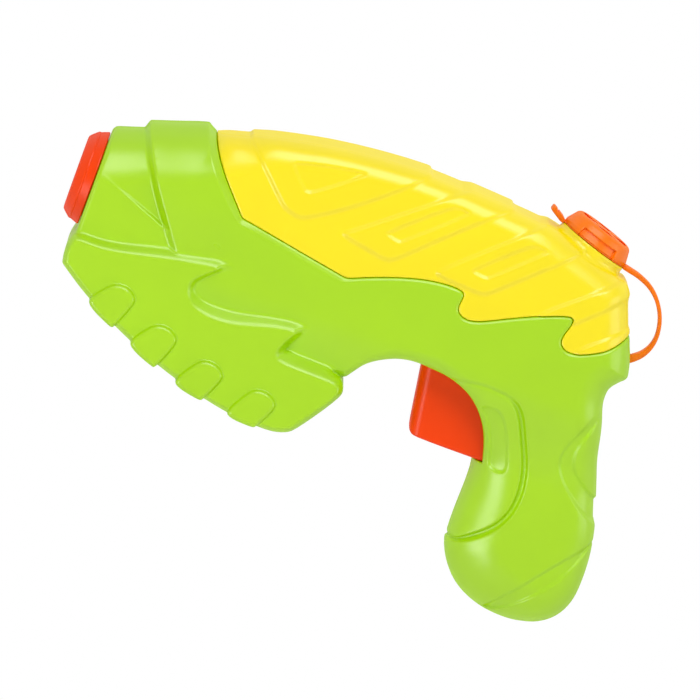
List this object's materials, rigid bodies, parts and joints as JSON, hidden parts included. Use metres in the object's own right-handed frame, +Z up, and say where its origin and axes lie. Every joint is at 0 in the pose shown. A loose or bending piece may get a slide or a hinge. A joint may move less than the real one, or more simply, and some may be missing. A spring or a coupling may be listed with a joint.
{
  "type": "water squirter",
  "caption": "Hand-held toy water squirter with a top tank, tethered screw filler cap, trigger pump with ball valves, and a round nozzle at the front of a clamped two-half shell.",
  "frame": {"origin": "centre of the grip on the middle plane, where a hand closes round it", "axes": "+Z up with the barrel level, -X toward the muzzle, +X toward the user, -Y to the side seen in the picture"},
  "size_m": [0.2455, 0.054, 0.1629],
  "materials": {
    "green_plastic": "satin moulded plastic, lime green",
    "yellow_plastic": "glossy moulded plastic, yellow",
    "cap_plastic": "satin moulded plastic, orange",
    "red_orange_plastic": "satin moulded plastic, red-orange",
    "white_plastic": "natural moulded plastic",
    "clear_tube": "soft tube",
    "black_rubber": "soft rubber",
    "steel": "plain steel"
  },
  "bodies": {
    "frame": {"left_shell": "green_plastic", "right_shell": "green_plastic", "water_tank": "yellow_plastic", "tether_strap": "cap_plastic", "tether_anchor": "cap_plastic", "nozzle_bezel": "red_orange_plastic", "nozzle_jet": "red_orange_plastic", "nozzle_o_ring": "black_rubber", "return_spring": "steel", "pump_cylinder": "white_plastic", "inlet_fitting": "white_plastic", "outlet_fitting": "white_plastic", "tank_outlet": "white_plastic", "tank_grommet": "black_rubber", "inlet_tube": "clear_tube", "outlet_tube": "clear_tube", "screw_1": "steel", "screw_2": "steel", "screw_3": "steel", "screw_4": "steel", "screw_5": "steel", "screw_6": "steel", "screw_7": "steel"},
    "trigger_group": {"trigger": "red_orange_plastic", "piston": "white_plastic", "piston_seal": "black_rubber"},
    "inlet_valve": {"inlet_ball": "steel"},
    "outlet_valve": {"outlet_ball": "steel"},
    "tether_end": {"tether_ring": "cap_plastic"},
    "cap_group": {"filler_cap": "cap_plastic", "cap_seal": "white_plastic"}
  },
  "joints": [
    {"name": "trigger_pull", "type": "slide", "parent": "frame", "child": "trigger_group", "axis": [1, 0, 0], "range_m": [0, 0.012], "stiffness_N_per_m": 250, "springref_m": -0.004, "deforming": ["return_spring"]},
    {"name": "inlet_ball_lift", "type": "slide", "parent": "frame", "child": "inlet_valve", "axis": [0, 0, 1], "range_m": [0, 0.0015]},
    {"name": "outlet_ball_lift", "type": "slide", "parent": "frame", "child": "outlet_valve", "axis": [0, 0, 1], "range_m": [0, 0.0015]},
    {"name": "cap_lift", "type": "slide", "parent": "frame", "child": "tether_end", "axis": [0.309, 0, 0.9511], "range_m": [0, 0.007], "deforming": ["tether_strap"]},
    {"name": "cap_turn", "type": "hinge", "parent": "tether_end", "child": "cap_group", "pos_m": [-0.011, 0, 0.0957], "axis": [0.309, 0, 0.9511], "range_deg": [0, 720]}
  ],
  "couplings": [
    {"joint": "cap_lift", "follows": "cap_turn", "m_per_rad": 0.00055704}
  ]
}
